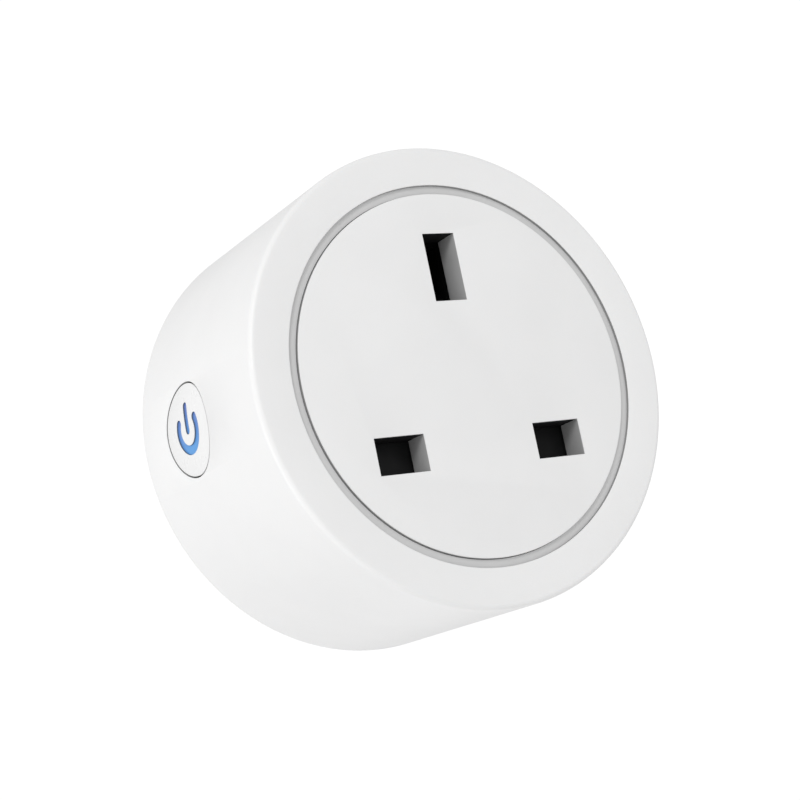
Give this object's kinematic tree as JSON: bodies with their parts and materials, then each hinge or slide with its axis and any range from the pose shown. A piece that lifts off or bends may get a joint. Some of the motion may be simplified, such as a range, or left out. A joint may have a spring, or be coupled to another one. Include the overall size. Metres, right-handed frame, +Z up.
{
  "type": "smart plug",
  "caption": "Round plug-through smart plug: square-pin socket face in front, matching pins behind, a power button on its side and a relay, boards and shutter inside.",
  "frame": {"origin": "centre of the flat rear face, which meets the wall socket", "axes": "+Y into the wall along the pins, +Z up with the earth pin at the top, +X to the right for someone facing the front"},
  "size_m": [0.0568, 0.0551, 0.0568],
  "materials": {
    "shell_white": "fine moulded satin",
    "face_white": "fine moulded satin",
    "button_white": "smooth moulded",
    "guide_blue": "translucent, lit blue",
    "sleeve_black": "moulded nylon",
    "shutter_dark": "moulded",
    "bobbin_cream": "moulded nylon",
    "carrier_black": "moulded phenolic",
    "pin_brass": "drawn and tumbled",
    "contact_brass": "stamped sheet",
    "steel_plain": "zinc plated",
    "iron_core": "annealed iron",
    "copper_wire": "enamelled winding",
    "board_green": "solder mask",
    "board_blue": "solder mask",
    "relay_blue": "moulded",
    "chip_black": "moulded epoxy",
    "can_sleeve": "shrink sleeve",
    "film_yellow": "moulded box",
    "disc_blue": "dipped epoxy",
    "resistor_grey": "cement coat",
    "ferrite": "sintered",
    "led_clear": "clear epoxy"
  },
  "bodies": {
    "housing": {"front_housing": "shell_white", "face_plate": "face_white", "rear_cover": "shell_white", "contact_carrier": "carrier_black", "rear_screw_1": "steel_plain", "rear_screw_2": "steel_plain", "rear_screw_3": "steel_plain", "carrier_screw_1": "steel_plain", "carrier_screw_2": "steel_plain", "live_pin": "pin_brass", "neutral_pin": "pin_brass", "earth_pin": "pin_brass", "live_pin_sleeve": "sleeve_black", "neutral_pin_sleeve": "sleeve_black", "live_contact": "contact_brass", "neutral_contact": "contact_brass", "earth_contact": "contact_brass", "shutter_spring": "steel_plain", "switched_live_bar": "contact_brass", "neutral_bar": "contact_brass", "earth_bar": "contact_brass", "tact_switch_body": "chip_black", "main_board": "board_green", "filter_capacitor": "can_sleeve", "output_capacitor": "can_sleeve", "inductor_core": "ferrite", "inductor_winding": "copper_wire", "varistor": "disc_blue", "fuse_resistor": "resistor_grey", "bridge_rectifier": "chip_black", "regulator_chip": "chip_black", "x_capacitor": "film_yellow", "control_board": "board_blue", "wifi_module": "chip_black", "wifi_shield": "steel_plain", "board_header": "chip_black", "status_led": "led_clear", "relay_case": "relay_blue", "relay_base": "chip_black", "relay_yoke": "iron_core", "relay_bobbin": "bobbin_cream", "relay_winding": "copper_wire", "relay_core": "iron_core", "relay_fixed_contact": "contact_brass"},
    "button": {"power_button": "button_white", "button_light_guide": "guide_blue"},
    "tact_plunger": {"tact_switch_plunger": "button_white"},
    "shutter": {"safety_shutter": "shutter_dark"},
    "armature": {"relay_armature": "iron_core"}
  },
  "joints": [
    {"name": "button_press", "type": "slide", "parent": "housing", "child": "button", "axis": [1, 0, 0], "range_m": [0, 0.00035], "stiffness_N_per_m": 800, "springref_m": -0.0003},
    {"name": "tact_press", "type": "slide", "parent": "housing", "child": "tact_plunger", "axis": [1, 0, 0], "range_m": [0, 0.00035], "stiffness_N_per_m": 100, "springref_m": -0.0003},
    {"name": "shutter_slide", "type": "slide", "parent": "housing", "child": "shutter", "axis": [0, 0, -1], "range_m": [0, 0.005], "stiffness_N_per_m": 60, "springref_m": -0.004, "deforming": ["shutter_spring"]},
    {"name": "armature_tip", "type": "hinge", "parent": "housing", "child": "armature", "pos_m": [-0.0071, -0.01785, -0.01881], "axis": [0, 0, 1], "range_deg": [0, 2], "stiffness_Nm_per_rad": 0.02, "springref_deg": -2.86}
  ],
  "couplings": [
    {"joint": "tact_press", "follows": "button_press", "ratio": 1}
  ]
}
